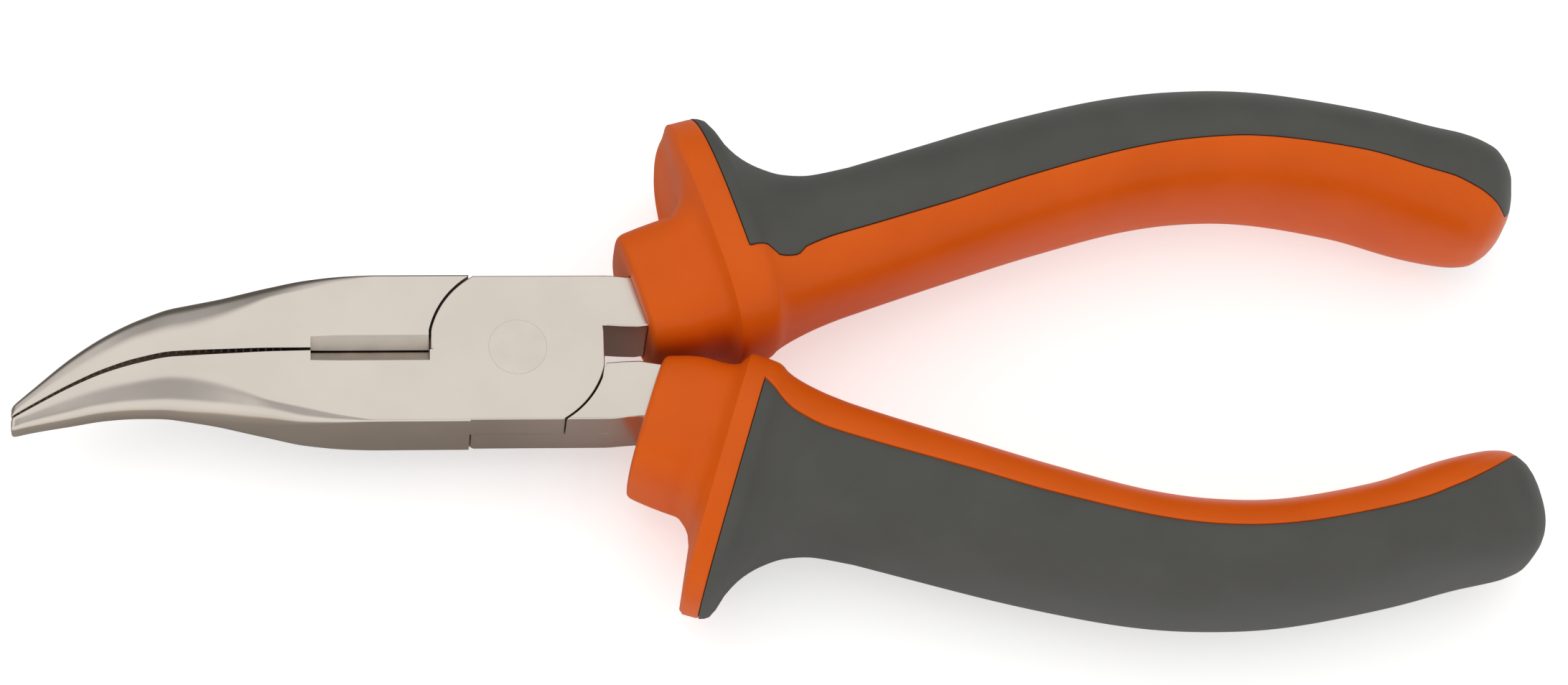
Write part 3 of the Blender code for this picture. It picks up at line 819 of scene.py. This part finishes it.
# distance, share of the guard
GUARD = [(6.3, 0.0), (7.6, 0.12), (8.3, 0.30), (8.7, 0.62), (8.9, 0.86), (9.4, 1.0), (12.0, 1.0),
         (13.2, 0.94), (13.9, 0.70), (15.1, 0.46), (16.8, 0.27), (19.0, 0.12), (22.0, 0.03), (26.0, 0.0)]
GUARD_ADDS = (10.3, 2.0, 2.2, -0.3)     # to outer size, inner size, half thickness and squareness
# distance, offset of the seam from the middle line, on the front (A) and on the back (B)
SEAM_A = [(12.0, -1.3), (13.9, -1.5), (15.0, -2.9), (16.8, -3.2), (18.2, -2.5), (22.0, -2.1), (34.0, -2.2),
          (43.0, -2.0), (52.0, -1.8), (62.0, -1.5), (71.0, -1.3), (84.0, -1.1), (90.0, -1.15), (93.0, -1.7),
          (95.5, -2.5), (97.2, -3.0), (98.0, -0.45)]
SEAM_B = [(12.0, -5.2), (12.6, -4.8), (16.0, -2.9), (20.0, -2.3), (34.0, -2.2), (43.0, -1.9), (52.0, -1.8),
          (62.0, -1.5), (71.0, -1.3), (84.0, -1.2), (88.0, -1.6), (91.0, -2.4), (94.0, -3.6), (96.0, -4.6),
          (97.2, -3.7), (98.0, -0.5)]
LIP_BACK = 12.0        # the cover starts behind the lip of the guard
END_CAP = 96.9         # from here on the seams run straight to the middle of the rear end
COVER_DEPTH, SEAM_GAP = 1.65, 0.04
SEAM_ROUND, SEAM_WIDTH, SEAM_STEP = 0.22, 0.25, 0.3     # drop, width and middle share of its rounded edge
LIP_STEP, LIP_ROUND = 0.07, 0.25                        # the lip's rear edge is rounded in two steps
LIP_CLEAR, RING_CLEAR = 0.3, 0.1       # other rings keep off the lip's and off a first ring this far
MOUTH_RINGS = (0.0, 0.12, 0.25, 0.4, 0.65)              # distances of the mouth's first rings
# rings of a grip: from, to, step. Rows of GRIP before and after the two limits have rings of their own.
STATIONS, OWN_RINGS = [(0.9, 26.0, 0.45), (26.0, 88.0, 1.0), (88.0, 97.3, 0.45)], (1.0, 97.0)
COVER_POINTS, SLEEVE_POINTS = (72, 40), (48, 56)        # corners of a ring, outside and inside
DROP_MOST = 0.7        # a drop takes at most this share of a size
POCKET_GAP, POCKET_END = 0.12, 1.0                      # room around the tang and behind it
# The two mouldings differ a little. distance, what is added to the outer and the inner size
UPPER_FIT = [(0.0, -0.50, 0.0), (5.5, -0.55, 0.1), (16.5, -0.65, 0.40), (22.8, -0.60, 0.40),
             (33.2, -0.35, 0.20), (43.7, -0.10, 0.05), (54.0, 0.0, 0.0), (90.0, 0.0, 0.0),
             (94.8, -0.45, 0.0), (96.4, -0.55, 0.0), (98.0, 0.0, 0.0)]
LOWER_FIT = [(0.0, 0.25, 0.0), (5.5, 0.40, 0.1), (16.5, 0.55, 0.25), (22.8, 0.60, 0.30), (33.2, 0.60, 0.25),
             (43.7, 0.45, 0.10), (54.0, 0.25, 0.0), (66.0, 0.0, 0.0), (90.0, 0.0, 0.0), (98.0, 0.0, 0.0)]
FIT_FULL = 5.0         # half sizes from here on take the whole change, smaller ones a share of it
# size changes, how far the mouth and the guard's front stand back, lean of the guard's back half
KINDS = {"upper": (UPPER_FIT, 0.0, 0.0, 0.20), "lower": (LOWER_FIT, 1.1, 0.75, 0.0)}
MOUTH_EASE, GUARD_EASE = 4.4, 1.5       # the distances over which the two set-backs fade

middle_line = smooth_path(MIDDLE)


def grip_sizes(s, kind):
    """Plain section, section with the guard, and the guard's share."""
    fit, mouth, front, _ = KINDS[kind]
    near = np.maximum(s - mouth * np.clip(1 - (s - mouth) / MOUTH_EASE, 0, 1), 0)
    guard = s - front * np.clip((LIP_BACK - s) / GUARD_EASE, 0, 1)
    plain, share = follow(GRIP, near), follow(GUARD, guard)
    plain[:, :2] += follow(fit, s) * np.minimum(1, plain[:, :2] / FIT_FULL)
    return plain, plain + share * np.array(GUARD_ADDS), share[:, 0]


def seam_turn(rows, s, plain):
    """Angle from the outer side at which the seam crosses the section, held over the rear end."""
    offset = follow(rows, s)[:, 0]
    outer, inner, square = plain[:, 0], plain[:, 1], plain[:, 3]
    below = np.arcsin(np.clip(-offset / inner, 0, 1) ** (square / 2))
    above = np.arcsin(np.clip(offset / outer, 0, 1) ** (square / 2))
    turn = math.pi / 2 + below - above
    return np.where(s > END_CAP, np.interp(END_CAP, s, turn), turn)


def section_corners(turn, size, drop):
    """Corners at angles, on a section of that size that is made smaller by drop."""
    outer, inner, thick, square = (size[:, k:k + 1] for k in range(4))
    c, s = np.cos(turn), np.sin(turn)
    wide = np.where(c > 0, outer, inner)
    u = np.sign(c) * np.abs(c) ** (2 / square) * (wide - np.minimum(drop, DROP_MOST * wide))
    z = np.sign(s) * np.abs(s) ** (2 / square) * (thick - np.minimum(drop, DROP_MOST * thick))
    return u, z


def grip_rings(s, turn, size, drop, lean):
    """Rings for angles and drops given for each station and corner."""
    u, z = section_corners(turn, size, drop)
    return lay_out(middle_line, s, u, z, along=lean[:, None] * np.minimum(z, 0))


def blend_corners(start, end, count, size):
    """Angles from start to end with two extra corners at each end for a rounded edge, and their drops."""
    edge = SEAM_WIDTH / size[:, 2:3]
    inner = start + edge + (end - start - 2 * edge) * np.linspace(0, 1, count)
    turn = np.column_stack([start, start + SEAM_STEP * edge, inner, end - SEAM_STEP * edge, end])
    round_end = np.array([SEAM_ROUND, SEAM_STEP * SEAM_ROUND])
    return turn, np.r_[round_end, np.zeros(count), round_end[::-1]]


def grip_stations(start):
    """Distances of the rings from start to the rear end, closer where the shape turns quickly."""
    even = [np.arange(*stretch) for stretch in STATIONS]
    own = [row[0] for row in GRIP if row[0] < OWN_RINGS[0] or row[0] > OWN_RINGS[1]]
    s = np.unique(np.round(np.concatenate([*even, own]), 3))
    return np.r_[start, s[s > start + RING_CLEAR]]


def cover(name, kind):
    """The soft layer, a shell with a C-shaped section."""
    s = grip_stations(LIP_BACK + SEAM_GAP)
    plain, full, share = grip_sizes(s, kind)
    lean = share * KINDS[kind][3]
    near, far = seam_turn(SEAM_A, s, full)[:, None], -seam_turn(SEAM_B, s, full)[:, None]
    turn, drop = blend_corners(far, near, COVER_POINTS[0], plain)
    under = near + (far - near) * np.linspace(0, 1, COVER_POINTS[1])
    outside = grip_rings(s, turn, full, drop[None, :], lean)
    inside = grip_rings(s, under, plain, COVER_DEPTH, lean)
    return skin(name, np.concatenate([outside, inside], axis=1), grey_rubber)


def sleeve(name, kind):
    """The hard sleeve: whole up to the lip of the guard, stepped down under the cover behind it."""
    mouth = KINDS[kind][1]
    front = np.r_[mouth + np.array(MOUTH_RINGS), grip_stations(mouth + STATIONS[0][0])]
    front = front[front < LIP_BACK - LIP_CLEAR]
    s = np.r_[front, LIP_BACK - LIP_ROUND, LIP_BACK - LIP_STEP, LIP_BACK, LIP_BACK,
              grip_stations(LIP_BACK + RING_CLEAR)]
    first = len(front) + 3                    # from this ring on the cover lies over the sleeve
    behind = np.arange(len(s)) >= first
    plain, full, share = grip_sizes(s, kind)
    lean = share * KINDS[kind][3]
    gap = SEAM_GAP / plain[:, 2:3]
    near = seam_turn(SEAM_A, s, full)[:, None] + gap
    far = 2 * math.pi - seam_turn(SEAM_B, s, full)[:, None] - gap
    turn, drop = blend_corners(near, far, SLEEVE_POINTS[0], plain)
    lip = np.zeros(len(s))
    lip[first - 2:first] = LIP_STEP, LIP_ROUND
    shown = grip_rings(s, turn, full, np.where(behind[:, None], drop[None, :], 0.0), lean)
    under = far + (near + 2 * math.pi - far) * np.linspace(0, 1, SLEEVE_POINTS[1])
    hidden_size = np.where(behind[:, None], plain, full)
    hidden_drop = np.where(behind, COVER_DEPTH + SEAM_GAP, lip)[:, None]
    hidden = grip_rings(s, under, hidden_size, hidden_drop, lean)
    piece = skin(name, np.concatenate([shown, hidden], axis=1), orange_plastic)
    pocket = skin(name + "_pocket", tang_rings(grow=POCKET_GAP, longer=POCKET_END), orange_plastic)
    combine(piece, pocket, "DIFFERENCE")
    settle(piece)
    bpy.data.objects.remove(pocket)
    return piece


def add_grip(prefix, body, flip):
    hard, soft = sleeve(prefix + "_sleeve", prefix), cover(prefix + "_cover", prefix)
    settle(soft)
    if flip:
        turn_over([hard, soft])
    for piece, node in ((hard, prefix + "_grip_core"), (soft, prefix + "_grip_overmould")):
        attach(piece, body)
        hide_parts(node)
        print(piece.name, len(piece.data.polygons), "faces")


add_grip("upper", "front_lever", False)
add_grip("lower", "back_lever", True)

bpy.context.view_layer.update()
